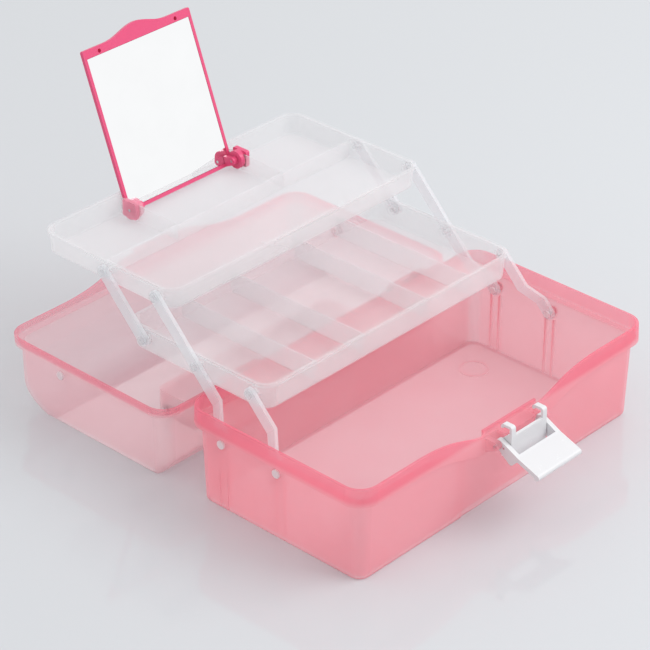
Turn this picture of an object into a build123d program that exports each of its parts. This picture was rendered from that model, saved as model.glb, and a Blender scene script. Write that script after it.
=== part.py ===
from build123d import *
from math import cos, radians, sin, tan
import os

# A cantilever make-up box, standing open: a pink tub, its lid laid back flat on the table,
# two clear trays on swinging arms, a folding mirror and a white latch.
# X runs along the front, +Y to the rear, +Z up. The origin is the centre of the tub's underside.

os.makedirs("parts", exist_ok=True)

# Tub
box_width = 330.0
box_depth = 178.0
base_height = 83.0
base_wall = 2.2
base_floor = 2.4
base_draft = 2.0
rim_overhang = 6.0
base_band_height = 15.0
band_draft = 2.0
rim_corner_radius = 18.0
rim_crown_radius = 0.9
base_foot_radius = 3.0

# Dip in the middle of the tub's front rim, which the lid's front fills
dip_depth = 13.5
dip_floor_half = 30.0
dip_shoulder_half = 104.0
dip_floor_pull = 18.0
dip_shoulder_pull = 46.0
dip_zone = 36.0

# Recessed panel of the tub's front wall, rings moulded in the tub's floor
panel_half_width = 46.0
panel_recess = 2.2
floor_ring_radius = 12.0
floor_ring_width = 1.6
floor_ring_height = 0.8
floor_ring_inset_x = 40.0
floor_ring_inset_y = 36.0

# Lid, given as it lies closed on the tub
lid_height = 63.0
lid_seam_gap = 0.4
lid_band_height = 8.0
lid_wall = 2.2
lid_top_thickness = 2.2
lid_draft = 0.6
lid_front_radius = 42.0
lid_rear_radius = 15.0
lid_side_radius = 3.0
lid_side_crest = 0.2

# Handle well in the lid's top
well_half_width = 95.0
well_front_y = 12.5
well_rear_y = 51.0
well_depth = 21.0
well_corner_radius = 4.0

# Carrying handle
handle_pivot_y = 19.0
handle_pivot_depth = 6.5
handle_pin_radius = 1.8
handle_pin_length = 8.0
handle_side_gap = 0.6
handle_arm_length = 26.0
handle_arm_width = 9.0
handle_thickness = 9.0
handle_bar_width = 11.0
handle_grip_radius = 2.5

# Pins in the lid's end walls
lid_pin_y = -31.0
lid_pin_drop = 45.0
lid_pin_boss_length = 4.0
lid_rib_length = 22.0

# Lid hinge, behind and below the tub's rim, as high as lets the open lid lie flat on the table
hinge_setback = 11.0
hinge_pin_radius = 2.0
hinge_knuckle_radius = 4.5
hinge_station_inset = 70.0
hinge_lid_knuckle = 18.0
hinge_base_knuckle = 9.0
hinge_side_gap = 0.5
hinge_head_radius = 3.0
hinge_head_thickness = 1.2

# Clearances
pin_clearance = 0.08
side_gap = 0.4

# Arms: one swing radius for all, leaning back from the horizontal when the box is open
arm_reach = 59.5
arm_open_angle = 46.0
arm_closed_angle = 160.0
arm_width = 10.0
arm_thickness = 3.2
arm_jog_start = 12.0
arm_jog_end = 28.0
base_pivot_drop = 8.7
base_pivot_front_y = -0.2
pivot_spacing = 56.0
pin_radius = 2.0
pin_head_radius = 3.6
pin_head_thickness = 1.6
pin_head_round = 0.7
pin_end_radius = 2.8
pin_end_thickness = 1.2
pin_seat = 0.15
pin_tray_stub = 1.0
boss_radius = 5.0
rail_width = 1.6
rail_depth = 1.4
rail_span = 9.5

# Trays
tray_width = 280.0
tray_lip = 1.6
tray_lip_height = 2.2
tray_lip_round = 0.7
tray_wall = 1.4
tray_floor = 1.5
tray_draft = 3.0
tray_corner_radius = 14.0
tray_foot_radius = 3.0
divider_thickness = 1.3
divider_drop = 2.6
tray_front_overhang = 14.2
lower_tray_depth = 149.0
lower_tray_height = 22.7
lower_tray_rise = 8.5
upper_tray_depth = 144.0
upper_tray_height = 19.0
upper_tray_rise = 7.7
lower_divider_1_x = -84.0
lower_divider_2_x = -31.0
lower_divider_3_x = 41.0
lower_divider_4_x = 90.0
upper_row_y = 75.0
upper_divider_half = 58.8

# Mirror, hinged on the cross dividers of the upper tray
mirror_width = 115.4
mirror_height = 132.5
mirror_lean = 20.5
mirror_thickness = 3.0
mirror_side_bar = 2.8
mirror_top_bar = 7.0
mirror_bottom_bar = 3.0
mirror_tab_half = 34.0
mirror_tab_rise = 6.5
mirror_pivot_from_rear = 18.4
mirror_pivot_above_foot = 4.2
mirror_fold_gap = 0.4
mirror_glass_thickness = 1.8
mirror_glass_gap = 0.2
mirror_glass_recess = 0.3
mirror_corner_radius = 1.5
mirror_pivot_from_rim = 7.8
mirror_ear_width = 4.0
mirror_ear_radius = 3.4
mirror_ear_height = 9.0
mirror_pin_radius = 1.2
clip_inner_width = 3.8
clip_outer_width = 3.8
clip_length = 15.0
clip_tab_drop = 14.0
clip_radius = 7.6
peg_radius = 1.1
peg_half_spacing = 41.0
peg_height = 2.4
peg_hole_clearance = 0.5
peg_hole_depth = 2.5

# Latch: a lever on the tub and a hooked plate on the lever
lever_pivot_out = 8.0
lever_pivot_drop = 19.0
lever_open_angle = 70.0
lever_reach = 41.0
lever_half_width = 25.0
lever_arm_width = 4.0
lever_window_end = 16.6
lever_root_radius = 3.7
lever_thickness = 3.4
lever_bead_radius = 2.5
cheek_reach = 14.6
cheek_drop = 6.4
cheek_radius = 2.6
crank_radius = 5.0
crank_trail = 5.0
ear_thickness = 5.0
ear_radius = 3.6
latch_pin_radius = 1.0
plate_half_width = 20.2
plate_thickness = 2.2
plate_foot = 10.6
plate_top = 9.0
plate_pin_gap = 0.3
plate_flange_depth = 9.0
hook_width = 4.6
hook_thickness = 2.2
hook_round = 2.4
hook_tip_reach = 6.9
hook_tip_thickness = 1.8
hook_tip_drop = 1.6
lip_half_width = 20.4
lip_reach = 4.5
lip_thickness = 2.0
lip_gap = 0.4

# Seat of the lid's lip and the bar behind it, on the tub
seat_front_gap = 0.5
seat_thickness = 2.0
bar_half_width = 30.0
bar_thickness = 2.0
bar_rise = 3.5
bar_foot = 6.0

# Heights and places that follow from the sizes above
base_band_low = base_height - base_band_height
base_pivot_z = base_band_low - base_pivot_drop
hinge_drop = (base_height - lid_height) / 2
wall_width = box_width - 2 * rim_overhang
wall_depth = box_depth - 2 * rim_overhang
wall_corner_radius = rim_corner_radius - rim_overhang
front_face = -box_depth / 2
rear_face = box_depth / 2
hinge_y = rear_face + hinge_setback
hinge_z = base_height - hinge_drop
hinge_station_x = box_width / 2 - hinge_station_inset
lid_seam = base_height + lid_seam_gap
lid_top = base_height + lid_height
lid_pin_z = lid_top - lid_pin_drop
lever_pivot_z = base_height - lever_pivot_drop
arm_swing = arm_closed_angle - arm_open_angle
tray_half = tray_width / 2
arm_inner_x = tray_half + side_gap + 0.6
arm_step_out = wall_width / 2 - base_wall - arm_thickness - boss_radius / 2 - arm_inner_x

base_frame = Plane.XY
# The lid's own frame holds its closed coordinates, turned half a turn about the hinge line
lid_frame = Plane(origin=(0, 2 * hinge_y, 2 * hinge_z), x_dir=(1, 0, 0), z_dir=(0, 0, -1))


def front_view(frame, depth):
    """Sketch plane seen from the front: x along the box, y up, drawn at one depth."""
    return Plane(origin=frame.origin + frame.y_dir * depth, x_dir=frame.x_dir, z_dir=frame.y_dir * -1)


def end_view(frame, along):
    """Sketch plane seen from the end: x to the rear, y up, drawn at one place along the box."""
    return Plane(origin=frame.origin + frame.x_dir * along, x_dir=frame.y_dir, z_dir=frame.x_dir)


def swung(angle, radius, start):
    """Point at a radius from a start point, at an angle above +Y in the YZ plane."""
    return (start[0] + radius * cos(radians(angle)), start[1] + radius * sin(radians(angle)))


# Pivot points in the YZ plane, with the box open
base_front_pivot = (base_pivot_front_y, base_pivot_z)
base_rear_pivot = (base_pivot_front_y + pivot_spacing, base_pivot_z)
lower_front_pivot = swung(arm_open_angle, arm_reach, base_front_pivot)
lower_middle_pivot = swung(arm_open_angle, arm_reach, base_rear_pivot)
lower_rear_pivot = (lower_middle_pivot[0] + pivot_spacing, lower_middle_pivot[1])
upper_front_pivot = swung(arm_open_angle, arm_reach, lower_middle_pivot)
upper_rear_pivot = swung(arm_open_angle, arm_reach, lower_rear_pivot)


def above_rim_line(frame, level, top):
    """Everything above a rim line, which dips in the middle of the front."""
    with BuildPart() as region:
        with BuildSketch(front_view(frame, front_face + dip_zone)) as dipped:
            with BuildLine() as outline:
                edge = box_width / 2 + rim_overhang
                low = level - dip_depth
                high_bend = dip_shoulder_half - dip_shoulder_pull
                low_bend = dip_floor_half + dip_floor_pull
                Polyline((-dip_shoulder_half, level), (-edge, level), (-edge, top), (edge, top),
                         (edge, level), (dip_shoulder_half, level))
                Bezier((dip_shoulder_half, level), (high_bend, level), (low_bend, low), (dip_floor_half, low))
                Line((dip_floor_half, low), (-dip_floor_half, low))
                Bezier((-dip_floor_half, low), (-low_bend, low), (-high_bend, level),
                       (-dip_shoulder_half, level))
            make_face()
        extrude(amount=dip_zone + box_depth)
        with BuildSketch(end_view(frame, -edge)) as straight:
            with Locations((front_face + dip_zone + box_depth / 2, (level + top) / 2)):
                Rectangle(box_depth, top - level)
        extrude(amount=2 * edge)
    return region.part


def band(frame, inset, level, low, high, taper, crown):
    """Rim band: a rounded block round the box, kept above the rim line at one level."""
    with BuildPart() as block:
        with BuildSketch(frame.offset(low)):
            RectangleRounded(box_width - 2 * inset, box_depth - 2 * inset, rim_corner_radius - inset)
        extrude(amount=high - low, taper=taper)
        if crown:
            fillet(block.faces().sort_by(Axis.Z)[-1].edges(), crown)
        add(above_rim_line(frame, level, high + dip_depth), mode=Mode.INTERSECT)
    return block.part


def hinge_knuckle(frame, centre, length, arm_points):
    """One knuckle of the lid hinge with its arm, drawn in the end view."""
    with BuildPart() as knuckle:
        with BuildSketch(end_view(frame, centre - length / 2)):
            with BuildLine():
                Polyline(*arm_points, close=True)
            make_face()
            with Locations((hinge_y, hinge_z)):
                Circle(hinge_knuckle_radius)
        extrude(amount=length)
    return knuckle.part


def cylinder_along_x(y, z, radius, x_from, x_to):
    """Round bar along X between two places."""
    with BuildPart() as bar:
        with BuildSketch(Plane.YZ.offset(min(x_from, x_to))):
            with Locations((y, z)):
                Circle(radius)
        extrude(amount=abs(x_to - x_from))
    return bar.part


def hinge_drill(frame):
    """Bore of the hinge line through every knuckle."""
    with BuildPart() as drill:
        with BuildSketch(end_view(frame, -box_width / 2)):
            with Locations((hinge_y, hinge_z)):
                Circle(hinge_pin_radius + pin_clearance)
        extrude(amount=box_width)
    return drill.part


# Tub
base_band = band(base_frame, 0, base_band_low, base_band_low - dip_depth, base_height, band_draft,
                 rim_crown_radius)
base_band_hollow = band(base_frame, base_wall, base_band_low + base_wall, base_band_low - dip_depth,
                        base_height, band_draft, 0)
front_opening = above_rim_line(base_frame, base_height, base_height + dip_depth)
base_bore = hinge_drill(base_frame)
base_knuckle_offset = hinge_lid_knuckle / 2 + hinge_side_gap + hinge_base_knuckle / 2
base_arm = [(rear_face - base_wall / 2, base_band_low + 1), (hinge_y, hinge_z - hinge_knuckle_radius),
            (hinge_y, hinge_z + hinge_knuckle_radius), (rear_face - base_wall / 2, base_height - 2)]
base_knuckles = [hinge_knuckle(base_frame, side * hinge_station_x + offset, hinge_base_knuckle, base_arm)
                 for side in (-1, 1) for offset in (-base_knuckle_offset, base_knuckle_offset)]
lever_pivot = (front_face - lever_pivot_out, lever_pivot_z)
lever_angle = 270 - lever_open_angle
crank_angle = lever_angle + crank_trail
crank_open = swung(crank_angle, crank_radius, lever_pivot)
crank_closed = swung(crank_angle + lever_open_angle, crank_radius, lever_pivot)
plate_inner_y = crank_open[0] - latch_pin_radius - plate_pin_gap
seat_front_y = plate_inner_y + crank_closed[0] - crank_open[0] + seat_front_gap
seat_half_width = plate_half_width - plate_thickness - seat_front_gap
bar_front_y = front_face + lid_wall + side_gap
ear_x = lever_half_width + side_gap
ear_root_y = front_face + base_wall / 2
inner_half_width = wall_width / 2 - base_wall

with BuildPart() as base_tub:
    with BuildSketch(base_frame.offset(base_band_low)):
        RectangleRounded(wall_width, wall_depth, wall_corner_radius)
    extrude(amount=-base_band_low, taper=base_draft)
    fillet(base_tub.faces().sort_by(Axis.Z)[0].edges(), base_foot_radius)
    add(base_band)
    with BuildSketch(base_frame.offset(base_band_low + base_wall)):
        RectangleRounded(wall_width - 2 * base_wall, wall_depth - 2 * base_wall,
                         wall_corner_radius - base_wall)
    extrude(amount=-(base_band_low + base_wall - base_floor), taper=base_draft, mode=Mode.SUBTRACT)
    add(base_band_hollow, mode=Mode.SUBTRACT)
    # Recessed front panel: the wall steps inwards with its thickness kept
    panel_foot = -wall_depth / 2 + base_band_low * tan(radians(base_draft))
    with BuildSketch(end_view(base_frame, -panel_half_width - base_wall)):
        Polygon((panel_foot + base_wall / 2, base_floor), (panel_foot + panel_recess + base_wall, base_floor),
                (-wall_depth / 2 + panel_recess + base_wall, base_band_low - dip_depth + base_wall),
                (-wall_depth / 2 + base_wall / 2, base_band_low - dip_depth + base_wall), align=None)
    extrude(amount=2 * (panel_half_width + base_wall))
    with BuildSketch(end_view(base_frame, -panel_half_width)):
        Polygon((panel_foot - rim_overhang, -1), (panel_foot + panel_recess, -1),
                (-wall_depth / 2 + panel_recess, base_band_low - dip_depth),
                (-wall_depth / 2 - rim_overhang, base_band_low - dip_depth), align=None)
    extrude(amount=2 * panel_half_width, mode=Mode.SUBTRACT)
    add(front_opening, mode=Mode.SUBTRACT)
    # Rings on the floor
    with BuildSketch(base_frame.offset(base_floor)):
        with GridLocations(wall_width - 2 * floor_ring_inset_x, wall_depth - 2 * floor_ring_inset_y, 2, 2):
            Circle(floor_ring_radius)
            Circle(floor_ring_radius - floor_ring_width, mode=Mode.SUBTRACT)
    extrude(amount=floor_ring_height)
    # Bosses and rails on the end walls, under each arm pivot
    for side in (-1, 1):
        boss_face = arm_inner_x + arm_step_out + arm_thickness + side_gap
        for pivot in (base_front_pivot, base_rear_pivot):
            with BuildSketch(Plane.YZ.offset(side * boss_face)):
                with Locations(pivot):
                    Circle(boss_radius)
            extrude(amount=side * (inner_half_width + base_wall / 2 - boss_face))
            rail_top = pivot[1] - boss_radius - 1
            with BuildSketch(base_frame.offset(base_floor)):
                for step in (-1, 1):
                    foot_x = inner_half_width - rail_depth - rail_top * tan(radians(base_draft))
                    with Locations((side * (foot_x + inner_half_width + base_wall / 2) / 2,
                                    pivot[0] + step * (rail_span - rail_width) / 2)):
                        Rectangle(inner_half_width + base_wall / 2 - foot_x, rail_width)
            extrude(amount=rail_top - base_floor)
    # The rails' outer ends are trimmed to the drafted wall
    with BuildSketch(base_frame.offset(base_band_low)):
        Rectangle(2 * box_width, wall_depth / 2)
        Rectangle(wall_width, wall_depth / 2, mode=Mode.SUBTRACT)
    extrude(amount=-base_band_low, taper=-base_draft, mode=Mode.SUBTRACT)
    # Latch ears in front of the dip
    for side in (-1, 1):
        with BuildSketch(end_view(base_frame, side * ear_x)):
            with Locations((lever_pivot[0], lever_pivot[1])):
                Circle(ear_radius)
            Polygon((lever_pivot[0], lever_pivot_z - ear_radius), (ear_root_y, base_band_low - dip_depth + 1),
                    (ear_root_y, lever_pivot_z + ear_radius), (lever_pivot[0], lever_pivot_z + ear_radius),
                    align=None)
        extrude(amount=side * ear_thickness)
        with Locations(Plane.YZ.offset(side * (ear_x + ear_thickness))):
            with Locations((lever_pivot[0], lever_pivot[1])):
                Hole(latch_pin_radius, depth=ear_thickness)
    # Seat for the lid's lip between the ears, and the bar behind the lid's rim
    dip_level = base_height - dip_depth
    with BuildSketch(end_view(base_frame, -seat_half_width)):
        Polygon((seat_front_y, dip_level), (ear_root_y, dip_level), (ear_root_y, dip_level - seat_thickness),
                (seat_front_y, dip_level - seat_thickness), align=None)
    extrude(amount=2 * seat_half_width)
    with BuildSketch(end_view(base_frame, -bar_half_width)):
        bar_rear_y = bar_front_y + bar_thickness
        Polygon((bar_front_y - side_gap, dip_level - bar_foot),
                (bar_front_y - side_gap, dip_level - side_gap),
                (bar_front_y, dip_level - side_gap), (bar_front_y, dip_level + bar_rise),
                (bar_rear_y, dip_level + bar_rise), (bar_rear_y, dip_level - bar_foot), align=None)
    extrude(amount=2 * bar_half_width)
    for pivot in (base_front_pivot, base_rear_pivot):
        with BuildSketch(Plane.YZ.offset(-box_width)):
            with Locations(pivot):
                Circle(pin_radius)
        extrude(amount=2 * box_width, mode=Mode.SUBTRACT)
    for knuckle in base_knuckles:
        add(knuckle)
    add(base_bore, mode=Mode.SUBTRACT)
base_tub.part.label = "base_tub"
print("base_tub", len(base_tub.part.solids()), base_tub.part.volume, base_tub.part.bounding_box())
export_step(base_tub.part, "parts/base_tub.step")

# Lid, built in its own frame: it comes out upside down behind the tub
lid_band_top = lid_seam + lid_band_height
lid_rise = lid_top - lid_seam


def lid_block(inset, low):
    """Lid body without its band: the plan outline cut to the end profile and the front profile."""
    top = lid_top - (lid_top_thickness if inset else 0)
    with BuildPart() as block:
        with BuildSketch(lid_frame.offset(low)):
            RectangleRounded(wall_width - 2 * inset, wall_depth - 2 * inset, wall_corner_radius - inset)
        extrude(amount=top - low, taper=lid_draft)
        with BuildSketch(end_view(lid_frame, -box_width / 2)) as ends:
            with Locations((0, top - lid_rise / 2)):
                Rectangle(wall_depth - 2 * inset, lid_rise)
            fillet(ends.vertices().group_by(Axis.Y)[-1].sort_by(Axis.X)[0], lid_front_radius - inset)
            fillet(ends.vertices().group_by(Axis.Y)[-1].sort_by(Axis.X)[-1], lid_rear_radius - inset)
        extrude(amount=box_width, mode=Mode.INTERSECT)
        # The side rounds crest just above the lid's top, so they meet it in a clean line
        with BuildSketch(front_view(lid_frame, -box_depth)) as sides:
            with Locations((0, top - lid_rise / 2 + lid_side_crest)):
                Rectangle(wall_width - 2 * inset, lid_rise)
            fillet(sides.vertices().group_by(Axis.Y)[-1], lid_side_radius - inset)
        extrude(amount=-2 * box_depth, mode=Mode.INTERSECT)
    return block.part


# Handle well, lid hinge, pins in the end walls and catch lip
lid_inner_half = wall_width / 2 - lid_wall
well_mid_y = (well_front_y + well_rear_y) / 2
well_length = well_rear_y - well_front_y
handle_pivot_z = lid_top - handle_pivot_depth
lid_arm = [(rear_face - lid_wall / 2, lid_seam + 1), (hinge_y - 2, hinge_z - hinge_knuckle_radius),
           (hinge_y, hinge_z + hinge_knuckle_radius), (rear_face - lid_wall / 2, lid_seam + 6)]
lid_knuckles = [hinge_knuckle(lid_frame, side * hinge_station_x, hinge_lid_knuckle, lid_arm)
                for side in (-1, 1)]
lip_low = lid_seam - dip_depth
lip_top = lip_low + lip_thickness

with BuildPart() as lid_shell:
    add(lid_block(0, lid_band_top - lid_wall))
    add(band(lid_frame, 0, lid_seam, lid_seam - dip_depth, lid_band_top, band_draft, 0))
    add(lid_block(lid_wall, lid_band_top - lid_wall - 1), mode=Mode.SUBTRACT)
    add(band(lid_frame, lid_wall, lid_seam - dip_depth, lid_seam - dip_depth, lid_band_top - lid_wall,
             band_draft, 0), mode=Mode.SUBTRACT)
    # Handle well, with pin holes in its end walls
    with BuildSketch(lid_frame.offset(lid_top - well_depth - lid_wall)):
        with Locations((0, well_mid_y)):
            RectangleRounded(2 * (well_half_width + lid_wall), well_length + 2 * lid_wall,
                             well_corner_radius + lid_wall)
    extrude(amount=well_depth + lid_wall - lid_top_thickness / 2)
    with BuildSketch(lid_frame.offset(lid_top - well_depth)):
        with Locations((0, well_mid_y)):
            RectangleRounded(2 * well_half_width, well_length, well_corner_radius)
    extrude(amount=well_depth + 1, mode=Mode.SUBTRACT)
    for side in (-1, 1):
        with BuildSketch(end_view(lid_frame, side * (well_half_width - 1))):
            with Locations((handle_pivot_y, handle_pivot_z)):
                Circle(handle_pin_radius)
        extrude(amount=side * (lid_wall + 2), mode=Mode.SUBTRACT)
        with BuildSketch(end_view(lid_frame, side * (lid_inner_half - lid_pin_boss_length))):
            with Locations((lid_pin_y, lid_pin_z)):
                Circle(boss_radius)
        extrude(amount=side * (lid_pin_boss_length + lid_wall / 2))
        with BuildSketch(end_view(lid_frame, side * (lid_inner_half - rail_depth))):
            with Locations((lid_pin_y + rail_span / 2, lid_pin_z + lid_rib_length / 2)):
                Rectangle(rail_width, lid_rib_length)
        extrude(amount=side * (rail_depth + lid_wall / 2))
        with BuildSketch(end_view(lid_frame, side * (lid_inner_half - lid_pin_boss_length - 1))):
            with Locations((lid_pin_y, lid_pin_z)):
                Circle(pin_radius)
        extrude(amount=side * (lid_pin_boss_length + 2 * lid_wall), mode=Mode.SUBTRACT)
    # Catch lip on the bulge of the front rim
    with BuildSketch(end_view(lid_frame, -lip_half_width)):
        Polygon((front_face + lid_wall / 2, lip_low), (front_face - lip_reach, lip_low),
                (front_face - lip_reach, lip_top), (front_face + lid_wall / 2, lip_top), align=None)
    extrude(amount=2 * lip_half_width)
    for knuckle in lid_knuckles:
        add(knuckle)
    add(hinge_drill(lid_frame), mode=Mode.SUBTRACT)
lid_shell.part.label = "lid_shell"
export_step(lid_shell.part, "parts/lid_shell.step")


def export(solid, name):
    """Label a finished piece and write it to its own file."""
    solid.label = name
    export_step(solid, "parts/" + name + ".step")
    box = solid.bounding_box()
    print(name, len(solid.solids()), round(solid.volume, 1), box)


# Hinge pins, free in the knuckles of the tub and of the lid
hinge_pin_half = hinge_lid_knuckle / 2 + hinge_side_gap + hinge_base_knuckle
for side, place in ((-1, "left"), (1, "right")):
    with BuildPart() as hinge_pin:
        station = side * hinge_station_x
        add(cylinder_along_x(hinge_y, hinge_z, hinge_pin_radius, station - hinge_pin_half,
                             station + hinge_pin_half))
        for end in (-1, 1):
            head = station + end * (hinge_pin_half + hinge_side_gap)
            add(cylinder_along_x(hinge_y, hinge_z, hinge_pin_radius, head - end * hinge_side_gap, head))
            add(cylinder_along_x(hinge_y, hinge_z, hinge_head_radius, head,
                                 head + end * hinge_head_thickness))
    export(hinge_pin.part, "hinge_pin_" + place)


def arm(start, pivots, jogged, side):
    """Flat arm from a start pivot at the open angle, with a bore at each pivot along it."""
    run = cos(radians(arm_open_angle))
    rise = sin(radians(arm_open_angle))
    along = Plane(origin=(0, start[0], start[1]), x_dir=(0, run, rise), z_dir=(0, rise, -run))
    flat = Plane(origin=along.origin, x_dir=along.x_dir, z_dir=(1, 0, 0))
    length = pivots[-1]
    near = side * arm_inner_x
    far = side * (arm_inner_x + arm_thickness)
    shift = side * arm_step_out if jogged else 0
    with BuildPart() as link:
        with BuildSketch(flat.offset(-box_width / 2)):
            with Locations((length / 2, 0)):
                SlotCenterToCenter(length, arm_width)
        extrude(amount=box_width)
        with BuildSketch(along.offset(-arm_width)):
            Polygon((-arm_width, near + shift), (arm_jog_start, near + shift), (arm_jog_end, near),
                    (length + arm_width, near), (length + arm_width, far), (arm_jog_end, far),
                    (arm_jog_start, far + shift), (-arm_width, far + shift), align=None)
        extrude(amount=2 * arm_width, mode=Mode.INTERSECT)
        with BuildSketch(flat.offset(-box_width / 2)):
            with Locations(*[(place, 0) for place in pivots]):
                Circle(pin_radius + pin_clearance)
        extrude(amount=box_width, mode=Mode.SUBTRACT)
    return link.part


for side, place in ((-1, "left"), (1, "right")):
    export(arm(base_rear_pivot, [0, arm_reach, 2 * arm_reach], True, side), "long_arm_" + place)
    export(arm(base_front_pivot, [0, arm_reach], True, side), "front_arm_" + place)
    export(arm(lower_rear_pivot, [0, arm_reach], False, side), "rear_arm_" + place)


def rivet(point, shaft_from, shaft_to, head_side):
    """Pin along X with a head at its outer end."""
    with BuildPart() as pin:
        add(cylinder_along_x(point[0], point[1], pin_radius, shaft_from, shaft_to))
        head_to = shaft_to + head_side * pin_head_thickness
        add(cylinder_along_x(point[0], point[1], pin_head_radius, shaft_to, head_to))
        edges = pin.faces().filter_by(Axis.X).sort_by(Axis.X)[-1 if head_side > 0 else 0].edges()
        fillet(edges, pin_head_round)
    return pin.part


# Trays: a lipped, drafted box whose hollow leaves the dividers standing
tray_pin_inner = tray_half - tray_lip - tray_wall - pin_tray_stub


def tray_hollow(middle, rim, depth, height, dividers):
    """Space inside a tray, without its dividers, given as (x, y, width, depth) boxes."""
    inset = tray_lip + tray_wall
    foot = rim - height
    with BuildPart() as hollow:
        with BuildSketch(Plane.XY.offset(rim)):
            with Locations((0, middle)):
                RectangleRounded(tray_width - 2 * inset, depth - 2 * inset, tray_corner_radius - inset)
        extrude(amount=foot + tray_floor - rim, taper=tray_draft)
        with BuildSketch(Plane.XY.offset(foot)):
            for divider in dividers:
                with Locations((divider[0], divider[1])):
                    Rectangle(divider[2], divider[3])
        extrude(amount=height - divider_drop, mode=Mode.SUBTRACT)
    return hollow.part


def tray(front, rim, depth, height, pivots, dividers):
    """Tray with its front face and rim height given, with a boss and a bore at each pivot."""
    middle = front + depth / 2
    foot = rim - height
    boss_end = arm_inner_x - side_gap
    hollow = tray_hollow(middle, rim, depth, height, dividers)
    with BuildPart() as box:
        with BuildSketch(Plane.XY.offset(rim - tray_lip_height)):
            with Locations((0, middle)):
                RectangleRounded(tray_width - 2 * tray_lip, depth - 2 * tray_lip,
                                 tray_corner_radius - tray_lip)
        extrude(amount=foot + tray_lip_height - rim, taper=tray_draft)
        fillet(box.faces().sort_by(Axis.Z)[0].edges(), tray_foot_radius)
        with BuildSketch(Plane.XY.offset(rim - tray_lip_height)):
            with Locations((0, middle)):
                RectangleRounded(tray_width, depth, tray_corner_radius)
        extrude(amount=tray_lip_height)
        fillet(box.faces().sort_by(Axis.Z)[-1].edges(), tray_lip_round)
        add(hollow, mode=Mode.SUBTRACT)
        for side in (-1, 1):
            for pivot in pivots:
                add(cylinder_along_x(pivot[0], pivot[1], boss_radius, side * tray_pin_inner, side * boss_end))
                add(cylinder_along_x(pivot[0], pivot[1], pin_radius, side * (tray_pin_inner - 1),
                                     side * box_width / 2), mode=Mode.SUBTRACT)
    return box.part


lower_rim = lower_front_pivot[1] + lower_tray_rise
lower_front = lower_front_pivot[0] - tray_front_overhang
lower_middle = lower_front + lower_tray_depth / 2
upper_rim = upper_front_pivot[1] + upper_tray_rise
upper_front = upper_front_pivot[0] - tray_front_overhang
upper_rear = upper_front + upper_tray_depth
row_y = upper_front + upper_row_y

lower_dividers = [(x, lower_middle, divider_thickness, lower_tray_depth)
                  for x in (lower_divider_1_x, lower_divider_2_x, lower_divider_3_x, lower_divider_4_x)]
lower_tray = tray(lower_front, lower_rim, lower_tray_depth, lower_tray_height,
                  [lower_front_pivot, lower_middle_pivot, lower_rear_pivot], lower_dividers)
export(lower_tray, "lower_tray")

# Mirror hinge line, on the cross dividers of the upper tray's rear row
mirror_pivot_y = upper_rear - mirror_pivot_from_rear
lean_cos = cos(radians(mirror_lean))
lean_sin = sin(radians(mirror_lean))
mirror_out = mirror_pivot_from_rim + mirror_fold_gap
mirror_pivot_z = upper_rim - mirror_pivot_from_rim
peg_y = upper_front + (tray_lip + tray_wall) / 2
clip_face_x = upper_divider_half - divider_thickness / 2 - clip_inner_width

upper_dividers = [(0, row_y, tray_width, divider_thickness)]
for side in (-1, 1):
    upper_dividers.append((side * upper_divider_half, (row_y + upper_rear) / 2, divider_thickness,
                           upper_rear - row_y))
with BuildPart() as upper_tray:
    add(tray(upper_front, upper_rim, upper_tray_depth, upper_tray_height,
             [upper_front_pivot, upper_rear_pivot], upper_dividers))
    with BuildSketch(Plane.XY.offset(upper_rim)):
        for side in (-1, 1):
            with Locations((side * peg_half_spacing, peg_y)):
                Circle(peg_radius)
    extrude(amount=peg_height)
    for side in (-1, 1):
        add(cylinder_along_x(mirror_pivot_y, mirror_pivot_z, mirror_pin_radius, side * clip_face_x,
                             side * (upper_divider_half + clip_inner_width)), mode=Mode.SUBTRACT)
export(upper_tray.part, "upper_tray")

# Pins of the arms: in the tub's walls and in the trays' walls
outer_arm_face = arm_inner_x + arm_step_out + arm_thickness
for side, place in ((-1, "left"), (1, "right")):
    for pivot, name in ((base_front_pivot, "front"), (base_rear_pivot, "rear")):
        wall_x = wall_width / 2 - (base_band_low - pivot[1]) * tan(radians(base_draft))
        inner = side * (outer_arm_face - arm_thickness - side_gap)
        with BuildPart() as pin:
            add(rivet(pivot, inner, side * (wall_x + pin_seat), side))
            add(cylinder_along_x(pivot[0], pivot[1], pin_end_radius, inner, inner - side * pin_end_thickness))
        export(pin.part, "base_" + name + "_pin_" + place)
    for pivot, name in ((lower_front_pivot, "lower_front"), (lower_middle_pivot, "lower_middle"),
                        (lower_rear_pivot, "lower_rear"), (upper_front_pivot, "upper_front"),
                        (upper_rear_pivot, "upper_rear")):
        export(rivet(pivot, side * tray_pin_inner, side * (arm_inner_x + arm_thickness + side_gap), side),
               name + "_pin_" + place)
    lid_pin_point = (2 * hinge_y - lid_pin_y, 2 * hinge_z - lid_pin_z)
    lid_wall_x = wall_width / 2 - (lid_pin_z - lid_band_top + lid_wall) * tan(radians(lid_draft))
    export(rivet(lid_pin_point, side * (lid_inner_half - lid_pin_boss_length),
                 side * (lid_wall_x + pin_seat), side), "lid_pin_" + place)

# Mirror, drawn flat in its own leaning plane: x across, y up the mirror, z towards the viewer
foot_y = mirror_pivot_y - mirror_pivot_above_foot * lean_sin + mirror_out * lean_cos
foot_z = mirror_pivot_z - mirror_pivot_above_foot * lean_cos - mirror_out * lean_sin
mirror_face = Plane(origin=(0, foot_y, foot_z), x_dir=(1, 0, 0), z_dir=(0, -lean_cos, lean_sin))
mirror_hole_up = mirror_pivot_above_foot + mirror_pivot_y - peg_y
glass_low = mirror_bottom_bar
glass_high = mirror_height - mirror_top_bar
glass_mid = (glass_low + glass_high) / 2
glass_width = mirror_width - 2 * mirror_side_bar

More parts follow.
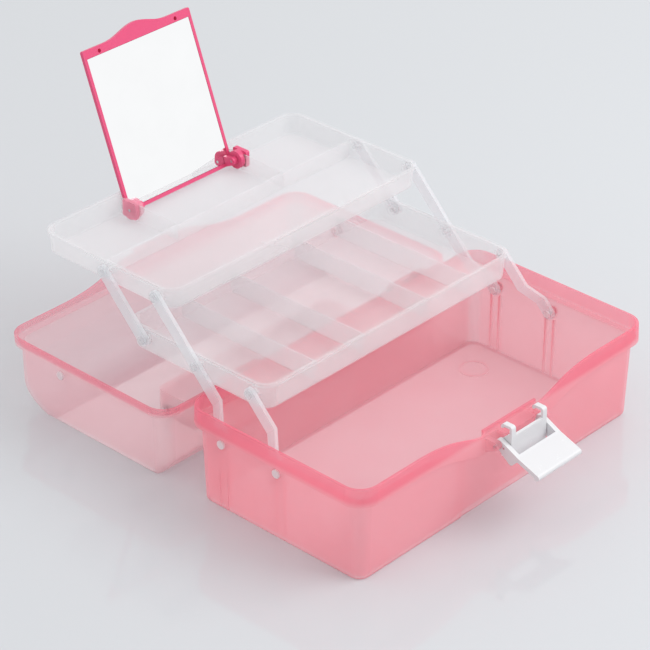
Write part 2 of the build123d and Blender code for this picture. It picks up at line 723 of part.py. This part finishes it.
with BuildPart() as mirror_frame:
    with BuildSketch(mirror_face) as outline:
        with Locations((0, mirror_height / 2)):
            Rectangle(mirror_width, mirror_height)
        fillet(outline.vertices(), mirror_corner_radius)
        with BuildLine():
            tab_flank = mirror_height + mirror_tab_rise * 0.45
            Line((-mirror_tab_half, mirror_height), (mirror_tab_half, mirror_height))
            Spline((-mirror_tab_half, mirror_height), (-mirror_tab_half / 2, tab_flank),
                   (0, mirror_height + mirror_tab_rise), (mirror_tab_half / 2, tab_flank),
                   (mirror_tab_half, mirror_height), tangents=[(1, 0), (1, 0)])
        make_face()
    extrude(amount=-mirror_thickness)
    with BuildSketch(mirror_face):
        with Locations((0, glass_mid)):
            Rectangle(glass_width, glass_high - glass_low)
    extrude(amount=-(mirror_glass_thickness + mirror_glass_recess), mode=Mode.SUBTRACT)
    with BuildSketch(mirror_face):
        with Locations((-peg_half_spacing, mirror_hole_up), (peg_half_spacing, mirror_hole_up)):
            Circle(peg_radius + peg_hole_clearance)
    extrude(amount=-peg_hole_depth, mode=Mode.SUBTRACT)
    # Hinge ears reaching forward to the pins
    for side in (-1, 1):
        ear_from = side * (clip_face_x - side_gap)
        with BuildSketch(Plane(origin=mirror_face.origin + mirror_face.x_dir * ear_from,
                               x_dir=mirror_face.z_dir, z_dir=(-1, 0, 0))):
            with Locations((mirror_out, mirror_pivot_above_foot)):
                Circle(mirror_ear_radius)
            Polygon((-mirror_glass_thickness, 0), (mirror_out, mirror_pivot_above_foot - mirror_ear_radius),
                    (mirror_out, mirror_pivot_above_foot + mirror_ear_radius),
                    (-mirror_glass_thickness, mirror_ear_height), align=None)
        extrude(amount=side * mirror_ear_width)
        bore = side * (clip_face_x - side_gap - mirror_ear_width)
        add(cylinder_along_x(mirror_pivot_y, mirror_pivot_z, mirror_pin_radius + pin_clearance,
                             bore - side, side * clip_face_x), mode=Mode.SUBTRACT)
    # The ears stay clear of the glass
    with BuildSketch(mirror_face.offset(-mirror_glass_thickness - mirror_glass_recess)):
        with Locations((0, glass_mid)):
            Rectangle(glass_width, glass_high - glass_low)
    extrude(amount=mirror_glass_thickness + mirror_glass_recess, mode=Mode.SUBTRACT)
export(mirror_frame.part, "mirror_frame")

with BuildPart() as mirror_glass:
    with BuildSketch(mirror_face.offset(-mirror_glass_recess)):
        with Locations((0, glass_mid)):
            Rectangle(glass_width - 2 * mirror_glass_gap, glass_high - glass_low - 2 * mirror_glass_gap)
    extrude(amount=-mirror_glass_thickness)
export(mirror_glass.part, "mirror_glass")

for side, place in ((-1, "left"), (1, "right")):
    divider_face = upper_divider_half - divider_thickness / 2
    divider_top = upper_rim - divider_drop
    clip_outer_x = upper_divider_half + divider_thickness / 2 + clip_outer_width
    with BuildPart() as clip:
        add(cylinder_along_x(mirror_pivot_y, mirror_pivot_z, clip_radius, side * clip_face_x,
                             side * clip_outer_x))
        with BuildSketch(Plane.YZ.offset(side * (upper_divider_half + divider_thickness / 2))):
            with Locations((mirror_pivot_y, mirror_pivot_z + clip_radius - clip_tab_drop / 2)):
                RectangleRounded(clip_length, clip_tab_drop, mirror_corner_radius)
        extrude(amount=side * clip_outer_width)
        with BuildSketch(Plane.XY.offset(divider_top)):
            with Locations((side * upper_divider_half, mirror_pivot_y)):
                Rectangle(divider_thickness, clip_length + 2)
        extrude(amount=-2 * clip_radius, mode=Mode.SUBTRACT)
        add(cylinder_along_x(mirror_pivot_y, mirror_pivot_z, mirror_pin_radius, side * (clip_face_x - 1),
                             side * (clip_outer_x + 1)), mode=Mode.SUBTRACT)
    export(clip.part, "mirror_clip_" + place)
    export(cylinder_along_x(mirror_pivot_y, mirror_pivot_z, mirror_pin_radius,
                            side * (clip_face_x - side_gap - mirror_ear_width), side * clip_outer_x),
           "mirror_pin_" + place)

# Latch, standing open: the lever swings out on the tub's ears and carries the hooked plate
hook_low = lip_top + lip_gap + crank_open[1] - crank_closed[1]
hook_under = hook_low + hook_tip_drop
hook_tip_y = crank_open[0] + hook_tip_reach

with BuildPart() as latch_lever:
    lever_plane = Plane(origin=(0, lever_pivot[0], lever_pivot[1]), z_dir=(1, 0, 0),
                        x_dir=(0, cos(radians(lever_angle)), sin(radians(lever_angle))))
    half = lever_thickness / 2
    # Cheeks: root round the pivot, a corner below it and the foot of the finger plate
    with BuildSketch(lever_plane.offset(-lever_half_width)):
        Circle(lever_root_radius)
        with Locations(swung(crank_trail, crank_radius, (0, 0))):
            Circle(lever_root_radius)
        with Locations((cheek_reach, cheek_drop)):
            Circle(cheek_radius)
        with Locations((lever_window_end + half, 0)):
            Circle(half)
        make_hull()
    extrude(amount=2 * lever_half_width)
    with BuildSketch(lever_plane.offset(-lever_half_width + lever_arm_width)):
        with Locations((lever_window_end - lever_reach / 2, 0)):
            Rectangle(lever_reach, lever_reach)
        with Locations((0, half + lever_reach / 2)):
            Rectangle(2 * lever_reach, lever_reach)
    extrude(amount=2 * (lever_half_width - lever_arm_width), mode=Mode.SUBTRACT)
    # Finger plate with a bead along its end
    with BuildSketch(lever_plane.offset(-lever_half_width)):
        Polygon((lever_window_end, -half), (lever_reach - lever_bead_radius, -half),
                (lever_reach - lever_bead_radius, half), (lever_window_end, half), align=None)
        with Locations((lever_reach - lever_bead_radius, lever_bead_radius - half)):
            Circle(lever_bead_radius)
    extrude(amount=2 * lever_half_width)
    for point in (lever_pivot, crank_open):
        radius = latch_pin_radius + (pin_clearance if point is lever_pivot else 0)
        add(cylinder_along_x(point[0], point[1], radius, -box_width / 2, box_width / 2), mode=Mode.SUBTRACT)
export(latch_lever.part, "latch_lever")

with BuildPart() as hook_plate:
    plate_outer_y = plate_inner_y - plate_thickness
    plate_low_z = crank_open[1] - plate_foot
    plate_high_z = crank_open[1] + plate_top
    with BuildSketch(Plane.YZ.offset(-plate_half_width)):
        Polygon((plate_outer_y, plate_low_z), (plate_outer_y, plate_high_z),
                (plate_outer_y + plate_flange_depth / 2, plate_high_z),
                (plate_outer_y + plate_flange_depth, plate_high_z - plate_flange_depth / 2),
                (plate_outer_y + plate_flange_depth, plate_low_z), align=None)
    extrude(amount=2 * plate_half_width)
    with BuildSketch(Plane.YZ.offset(-plate_half_width + plate_thickness)):
        with Locations((plate_inner_y + box_depth / 2, (plate_low_z + plate_high_z) / 2)):
            Rectangle(box_depth, plate_high_z)
    extrude(amount=2 * (plate_half_width - plate_thickness), mode=Mode.SUBTRACT)
    for side in (-1, 1):
        with BuildSketch(Plane.YZ.offset(side * plate_half_width)) as cane:
            Polygon((plate_outer_y, plate_high_z - 1), (plate_outer_y, hook_under + hook_thickness),
                    (hook_tip_y, hook_under + hook_thickness), (hook_tip_y, hook_low),
                    (hook_tip_y - hook_tip_thickness, hook_low),
                    (hook_tip_y - hook_tip_thickness, hook_under),
                    (plate_outer_y + hook_thickness, hook_under),
                    (plate_outer_y + hook_thickness, plate_high_z - 1), align=None)
            fillet(cane.vertices().group_by(Axis.Y)[-1], hook_round)
        extrude(amount=-side * hook_width)
    add(cylinder_along_x(crank_open[0], crank_open[1], latch_pin_radius + pin_clearance,
                         -box_width / 2, box_width / 2), mode=Mode.SUBTRACT)
export(hook_plate.part, "latch_hook_plate")
export(cylinder_along_x(crank_open[0], crank_open[1], latch_pin_radius, -lever_half_width, lever_half_width),
       "latch_hook_pin")
for side, place in ((-1, "left"), (1, "right")):
    export(cylinder_along_x(lever_pivot[0], lever_pivot[1], latch_pin_radius,
                            side * (lever_half_width - lever_arm_width), side * (ear_x + ear_thickness)),
           "latch_lever_pin_" + place)

# Carrying handle, lying in the lid's well
handle_half = well_half_width - handle_side_gap
handle_bar_y = handle_pivot_y + handle_arm_length
with BuildPart() as handle:
    with BuildSketch(end_view(lid_frame, -handle_half)):
        with Locations((handle_pivot_y, handle_pivot_z)):
            Circle(handle_thickness / 2)
        with Locations((handle_pivot_y + handle_arm_length / 2, handle_pivot_z)):
            Rectangle(handle_arm_length, handle_thickness)
    extrude(amount=2 * handle_half)
    with BuildSketch(lid_frame.offset(handle_pivot_z - handle_thickness)):
        opening = handle_arm_length - handle_bar_width + handle_thickness
        with Locations((0, handle_bar_y - handle_bar_width - opening / 2)):
            Rectangle(2 * (handle_half - handle_arm_width), opening)
    extrude(amount=2 * handle_thickness, mode=Mode.SUBTRACT)
    grip = handle.edges().filter_by(Axis.X).filter_by(lambda edge: edge.length > handle_half)
    fillet(grip, handle_grip_radius)
    pin_point = (2 * hinge_y - handle_pivot_y, 2 * hinge_z - handle_pivot_z)
    add(cylinder_along_x(pin_point[0], pin_point[1], handle_pin_radius + pin_clearance,
                         -box_width / 2, box_width / 2), mode=Mode.SUBTRACT)
export(handle.part, "carry_handle")
for side, place in ((-1, "left"), (1, "right")):
    export(cylinder_along_x(pin_point[0], pin_point[1], handle_pin_radius,
                            side * (well_half_width + lid_wall - handle_pin_length),
                            side * (well_half_width + lid_wall)), "handle_pin_" + place)
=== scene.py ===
# %% [markdown]
# # A cantilever make-up box in translucent plastic
# The box stands open: a pink tub, its lid laid back on the table, two clear trays on swinging arms,
# a folding mirror and a white latch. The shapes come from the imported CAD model, so this lesson is
# about finishes: how thin moulded plastic takes colour, how it lets light through, and how it shines.

import bpy
from math import radians
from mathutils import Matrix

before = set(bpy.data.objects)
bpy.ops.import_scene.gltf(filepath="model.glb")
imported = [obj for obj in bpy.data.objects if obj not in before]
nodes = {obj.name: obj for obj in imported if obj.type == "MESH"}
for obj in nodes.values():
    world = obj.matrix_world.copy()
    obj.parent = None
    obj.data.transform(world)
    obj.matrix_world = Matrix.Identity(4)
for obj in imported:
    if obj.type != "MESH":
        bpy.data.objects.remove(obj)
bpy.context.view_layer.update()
bpy.ops.object.select_all(action="DESELECT")

# %% [markdown]
# ## Colours from the photograph
# A colour that is read off a picture is an sRGB number from 0 to 255, while a shader wants linear
# light. One small helper turns the first into the second, so every finish below can be written in
# the numbers that a colour picker shows.


# %% Turn picked colours into linear ones
def linear(red, green, blue):
    channels = []
    for value in (red, green, blue):
        share = value / 255
        channels.append(share / 12.92 if share <= 0.04045 else ((share + 0.055) / 1.055) ** 2.4)
    return (*channels, 1.0)


print("tub pink in linear light:", [round(value, 3) for value in linear(250, 140, 158)])

# %% [markdown]
# ## One recipe for moulded plastic
# Every moulding here is thin, milky plastic. Three things happen in such a wall. Some light goes
# straight through, so what lies behind shows faintly. Some is scattered and comes out on the far
# side, so a wall glows when light falls on its back. The rest comes back from the skin, with a soft
# highlight. That could be made with a volume inside the solid, which is slow and grainy. Three
# surface shaders do the same job: Transparent, Translucent and Principled, mixed by two numbers.
# Seen along a wall, at a grazing angle, there is more plastic in the way, so a Layer Weight node
# raises the share of the solid part there, and rims and corners stand out as in real trays.


# %% Colour that drifts slowly through a moulding
clouds_per_metre = 14.0


def drifting_colour(tree, place, thin, thick):
    drift = tree.nodes.new("ShaderNodeTexNoise")
    drift.inputs["Scale"].default_value = clouds_per_metre
    drift.inputs["Detail"].default_value = 2.0
    tree.links.new(place.outputs["Object"], drift.inputs["Vector"])
    blend = tree.nodes.new("ShaderNodeMix")
    blend.data_type = "RGBA"
    blend.inputs["A"].default_value = thin
    blend.inputs["B"].default_value = thick
    tree.links.new(drift.outputs["Fac"], blend.inputs["Factor"])
    return blend.outputs["Result"]


# %% Colour that deepens between two heights, for the thick rims
def deepen(tree, place, colour, deep, start, full):
    height = tree.nodes.new("ShaderNodeSeparateXYZ")
    tree.links.new(place.outputs["Object"], height.inputs["Vector"])
    rise = tree.nodes.new("ShaderNodeMapRange")
    rise.interpolation_type = "SMOOTHSTEP"
    rise.inputs["From Min"].default_value = start
    rise.inputs["From Max"].default_value = full
    tree.links.new(height.outputs["Z"], rise.inputs["Value"])
    blend = tree.nodes.new("ShaderNodeMix")
    blend.data_type = "RGBA"
    blend.inputs["B"].default_value = deep
    tree.links.new(rise.outputs["Result"], blend.inputs["Factor"])
    tree.links.new(colour, blend.inputs["A"])
    return blend.outputs["Result"]


# %% Haze and ripple of a glossy skin
haze_per_metre = 180.0
haze_spread = 0.3
ripples_per_metre = 30.0
ripple_strength = 0.15
ripple_depth = 0.0008


def skin(tree, place, shader, roughness):
    haze = tree.nodes.new("ShaderNodeTexNoise")
    haze.inputs["Scale"].default_value = haze_per_metre
    haze.inputs["Detail"].default_value = 4.0
    tree.links.new(place.outputs["Object"], haze.inputs["Vector"])
    polish = tree.nodes.new("ShaderNodeMapRange")
    polish.inputs["To Min"].default_value = roughness * (1 - haze_spread)
    polish.inputs["To Max"].default_value = roughness * (1 + haze_spread)
    tree.links.new(haze.outputs["Fac"], polish.inputs["Value"])
    tree.links.new(polish.outputs["Result"], shader.inputs["Roughness"])
    wave = tree.nodes.new("ShaderNodeTexNoise")
    wave.inputs["Scale"].default_value = ripples_per_metre
    wave.inputs["Detail"].default_value = 1.0
    tree.links.new(place.outputs["Object"], wave.inputs["Vector"])
    relief = tree.nodes.new("ShaderNodeBump")
    relief.inputs["Strength"].default_value = ripple_strength
    relief.inputs["Distance"].default_value = ripple_depth
    tree.links.new(wave.outputs["Fac"], relief.inputs["Height"])
    tree.links.new(relief.outputs["Normal"], shader.inputs["Normal"])


# %% The shared plastic finish
plastic_index = 1.49
edge_gain = 0.5


def plastic(name, thin, thick, solid=1.0, glow=0.0, roughness=0.2, rim=None, edge=0.35):
    material = bpy.data.materials.new(name)
    material.use_nodes = True
    tree = material.node_tree
    shader = tree.nodes["Principled BSDF"]
    shader.inputs["IOR"].default_value = plastic_index
    place = tree.nodes.new("ShaderNodeTexCoord")
    colour = drifting_colour(tree, place, thin, thick)
    if rim:
        colour = deepen(tree, place, colour, *rim)
    tree.links.new(colour, shader.inputs["Base Color"])
    skin(tree, place, shader, roughness)
    surface = shader.outputs["BSDF"]
    if glow:
        through = tree.nodes.new("ShaderNodeBsdfTranslucent")
        tree.links.new(colour, through.inputs["Color"])
        both = tree.nodes.new("ShaderNodeMixShader")
        both.inputs["Fac"].default_value = glow
        tree.links.new(surface, both.inputs[1])
        tree.links.new(through.outputs["BSDF"], both.inputs[2])
        surface = both.outputs["Shader"]
    if solid < 1:
        clear = tree.nodes.new("ShaderNodeBsdfTransparent")
        grazing = tree.nodes.new("ShaderNodeLayerWeight")
        grazing.inputs["Blend"].default_value = edge
        share = tree.nodes.new("ShaderNodeMapRange")
        share.inputs["To Min"].default_value = solid
        share.inputs["To Max"].default_value = min(1.0, solid + edge_gain)
        tree.links.new(grazing.outputs["Facing"], share.inputs["Value"])
        veil = tree.nodes.new("ShaderNodeMixShader")
        tree.links.new(share.outputs["Result"], veil.inputs["Fac"])
        tree.links.new(clear.outputs["BSDF"], veil.inputs[1])
        tree.links.new(surface, veil.inputs[2])
        surface = veil.outputs["Shader"]
    tree.links.new(surface, tree.nodes["Material Output"].inputs["Surface"])
    print("finish", name, "solid share", solid, "glow", glow)
    return material


# %% Put one finish on the material slots of named pieces
def dress(material, *names):
    for name in names:
        for slot in nodes[name].material_slots:
            slot.material = material
    print(material.name, "on", len(names), "pieces")


# %% [markdown]
# ## The tub and the lid
# Tub and lid are the same pink, but the tub is dyed more strongly. The rim bands are folded double,
# so the colour deepens there. The lid lies upside down, so its rim is at the top as well. Two
# materials per moulding, split by face, would leave a hard line. Letting the height above the table
# pick the colour gives the soft change of a wall that grows thicker.

# %% Pink tub and paler lid
tub_band_starts = 0.067
tub_band_full = 0.073
lid_band_starts = 0.0555
lid_band_full = 0.058
tub_plastic = plastic("tub_plastic", linear(255, 195, 204), linear(255, 181, 192), solid=0.38, glow=0.5,
                      roughness=0.16, rim=(linear(255, 146, 167), tub_band_starts, tub_band_full))
lid_plastic = plastic("lid_plastic", linear(255, 224, 229), linear(255, 215, 221), solid=0.24, glow=0.5,
                      roughness=0.16, rim=(linear(255, 150, 170), lid_band_starts, lid_band_full))
dress(tub_plastic, "base_tub")
dress(lid_plastic, "lid_shell")

# %% [markdown]
# ## Trays and arms
# The trays are clear with a faint milky haze: their walls are seen mostly at the rims, where light
# gathers. The arms are of the same plastic, but thicker, so they look a cool white. Glass-like
# refraction would bend everything behind every thin wall and leave grain, so both use the shared
# recipe, with a small solid share for the trays and a larger one for the arms.

# %% Clear trays and milky arms
tray_plastic = plastic("tray_plastic", linear(248, 248, 250), linear(241, 241, 243), solid=0.14, glow=0.3,
                       roughness=0.2, edge=0.3)
arm_plastic = plastic("arm_plastic", linear(246, 247, 250), linear(238, 240, 244), solid=0.34, glow=0.4)
dress(tray_plastic, "lower_tray", "upper_tray")
arms = [name for name in nodes if "_arm_" in name]
dress(arm_plastic, *arms)

# %% [markdown]
# ## Pins
# The pins that hold the arms in the trays are of the clear plastic too and hardly show. The four
# pins in the tub's ends and the two in the lid are white dots. Hinge, mirror, handle and latch turn
# on drawn steel. The pieces are picked by name, so one line dresses all pins of a kind.

# %% Clear and white pins
tray_pins = [name for name in nodes if "_pin_" in name and name.startswith(("lower_", "upper_"))]
white_pins = [name for name in nodes if name.startswith(("base_front_pin", "base_rear_pin", "lid_pin"))]
steel_pins = [name for name in nodes if "_pin" in name and name not in tray_pins + white_pins]
print("pins: tray", len(tray_pins), "white", len(white_pins), "steel", len(steel_pins))
dress(tray_plastic, *tray_pins)
pin_plastic = plastic("pin_plastic", linear(252, 244, 246), linear(246, 232, 236), solid=0.8, glow=0.2)
dress(pin_plastic, *white_pins)

# %% [markdown]
# ## Latch, handle and mirror frame
# These are dyed solid: white for what the hand takes hold of, and a strong pink for the frame of the
# mirror and its right clip. The left clip is paler and lets some light through. A plain colour would
# look like paint, so these too go through the shared recipe, which gives them haze and ripple.

# %% White latch and handle, pink mirror frame
latch_plastic = plastic("latch_plastic", linear(236, 236, 238), linear(230, 230, 233), glow=0.15,
                        roughness=0.25)
dress(latch_plastic, "latch_lever", "latch_hook_plate", "carry_handle")
mirror_pink = plastic("mirror_pink", linear(240, 92, 138), linear(232, 80, 126), glow=0.12, roughness=0.25)
dress(mirror_pink, "mirror_frame", "mirror_clip_right")
clip_pink = plastic("clip_pink", linear(253, 178, 198), linear(250, 162, 186), solid=0.5, glow=0.3)
dress(clip_pink, "mirror_clip_left")


# %% [markdown]
# ## Mirror and steel
# The mirror is silvered glass: nearly all light comes back, and sharply. Drawn steel is duller and
# greyer. Real glass in front of a silver layer would need two surfaces. One metallic shader does for
# both, and only its roughness and colour differ.

# %% Silvered glass and drawn steel
smears_per_metre = 40.0
smear_spread = 0.4
smear_shade = 0.96


def metal(name, colour, roughness):
    material = bpy.data.materials.new(name)
    material.use_nodes = True
    tree = material.node_tree
    shader = tree.nodes["Principled BSDF"]
    shader.inputs["Metallic"].default_value = 1.0
    place = tree.nodes.new("ShaderNodeTexCoord")
    smear = tree.nodes.new("ShaderNodeTexNoise")
    smear.inputs["Scale"].default_value = smears_per_metre
    tree.links.new(place.outputs["Object"], smear.inputs["Vector"])
    polish = tree.nodes.new("ShaderNodeMapRange")
    polish.inputs["To Min"].default_value = roughness * (1 - smear_spread)
    polish.inputs["To Max"].default_value = roughness * (1 + smear_spread)
    tree.links.new(smear.outputs["Fac"], polish.inputs["Value"])
    tree.links.new(polish.outputs["Result"], shader.inputs["Roughness"])
    tint = tree.nodes.new("ShaderNodeMix")
    tint.data_type = "RGBA"
    tint.inputs["A"].default_value = colour
    tint.inputs["B"].default_value = tuple(value * smear_shade for value in colour[:3]) + (1.0,)
    tree.links.new(smear.outputs["Fac"], tint.inputs["Factor"])
    tree.links.new(tint.outputs["Result"], shader.inputs["Base Color"])
    print("finish", name, "roughness", roughness)
    return material


silvering = metal("silvering", linear(250, 251, 252), 0.02)
drawn_steel = metal("drawn_steel", linear(200, 200, 204), 0.3)
dress(silvering, "mirror_glass")
dress(drawn_steel, *steel_pins)

# %% [markdown]
# ## The table
# The box stands on a pale, smooth table. A modelled room would add nothing to it, so one large plane
# does, far wider than the picture.

# %% Table top
table_width = 12.0
table_roughness = 0.06
bpy.ops.mesh.primitive_plane_add(size=table_width, location=(0, 0, 0))
table = bpy.context.object
table.name = "table"
table_top = bpy.data.materials.new("table_top")
table_top.use_nodes = True
table_shader = table_top.node_tree.nodes["Principled BSDF"]
table_shader.inputs["Base Color"].default_value = linear(204, 207, 211)
table_shader.inputs["Roughness"].default_value = table_roughness
table.data.materials.append(table_top)
bpy.ops.object.select_all(action="DESELECT")
print("table", table_width, "m wide, roughness", table_roughness)

# %% [markdown]
# ## Light
# Milky plastic looks best in light from all sides, so an even white sky lights the box, and one large
# lamp, like a window, gives the highlights a direction. Several lamps would draw several shadows.
# The sky is a little brighter where the camera or a reflection looks at it than where it lights the
# box, so the background stays white while the plastic keeps its colour. Light Path tells these apart.

# %% Even white sky
sky_for_light = 0.93
sky_as_seen = 1.0
world = bpy.data.worlds.new("studio")
bpy.context.scene.world = world
world.use_nodes = True
air = world.node_tree
sky = air.nodes["Background"]
sky.inputs["Color"].default_value = (1, 1, 1, 1)
sky.inputs["Strength"].default_value = sky_for_light
seen_sky = air.nodes.new("ShaderNodeBackground")
seen_sky.inputs["Color"].default_value = (1, 1, 1, 1)
seen_sky.inputs["Strength"].default_value = sky_as_seen
ray = air.nodes.new("ShaderNodeLightPath")
camera_or_gloss = air.nodes.new("ShaderNodeMath")
camera_or_gloss.operation = "MAXIMUM"
air.links.new(ray.outputs["Is Camera Ray"], camera_or_gloss.inputs[0])
air.links.new(ray.outputs["Is Glossy Ray"], camera_or_gloss.inputs[1])
chosen_sky = air.nodes.new("ShaderNodeMixShader")
air.links.new(camera_or_gloss.outputs["Value"], chosen_sky.inputs["Fac"])
air.links.new(sky.outputs["Background"], chosen_sky.inputs[1])
air.links.new(seen_sky.outputs["Background"], chosen_sky.inputs[2])
air.links.new(chosen_sky.outputs["Shader"], air.nodes["World Output"].inputs["Surface"])
print("sky", sky_for_light, "for light and", sky_as_seen, "as seen")

# %% One large window
window_place = (1.0, -1.2, 1.6)
window_width = 1.6
window_height = 1.2
window_watts = 22.0
window_tilt = radians(44)
window_turn = radians(40)
bpy.ops.object.light_add(type="AREA", location=window_place)
key = bpy.context.object
key.name = "soft_window"
key.data.shape = "RECTANGLE"
key.data.size = window_width
key.data.size_y = window_height
key.data.energy = window_watts
key.rotation_euler = (window_tilt, 0, window_turn)
print("window", window_width, "by", window_height, "m,", window_watts, "W")

# %% [markdown]
# ## The camera
# Place, angle and lens were solved from the photograph's own corners, so the render can be laid over
# it. The lens comes from the focal length in pixels: over the picture's width in pixels, times the
# width of the sensor. Standard keeps the colours as they were picked, where a filmic view would grey
# them.

# %% Camera at the photograph's angle
camera_place = (-1.3489, -1.1579, 1.1737)
looking_down = radians(30.8)
heading = radians(-47.0)
focal_pixels = 2766
picture_pixels = 650
sensor_millimetres = 36.0
farthest_seen = 50.0
bpy.ops.object.camera_add(location=camera_place, rotation=(radians(90) - looking_down, 0, heading))
camera = bpy.context.object
camera.data.sensor_width = sensor_millimetres
camera.data.lens = focal_pixels / picture_pixels * sensor_millimetres
camera.data.clip_end = farthest_seen
bpy.context.scene.camera = camera
bpy.context.scene.view_settings.view_transform = "Standard"
print("camera at", camera_place, "with a lens of", round(camera.data.lens, 1), "mm")
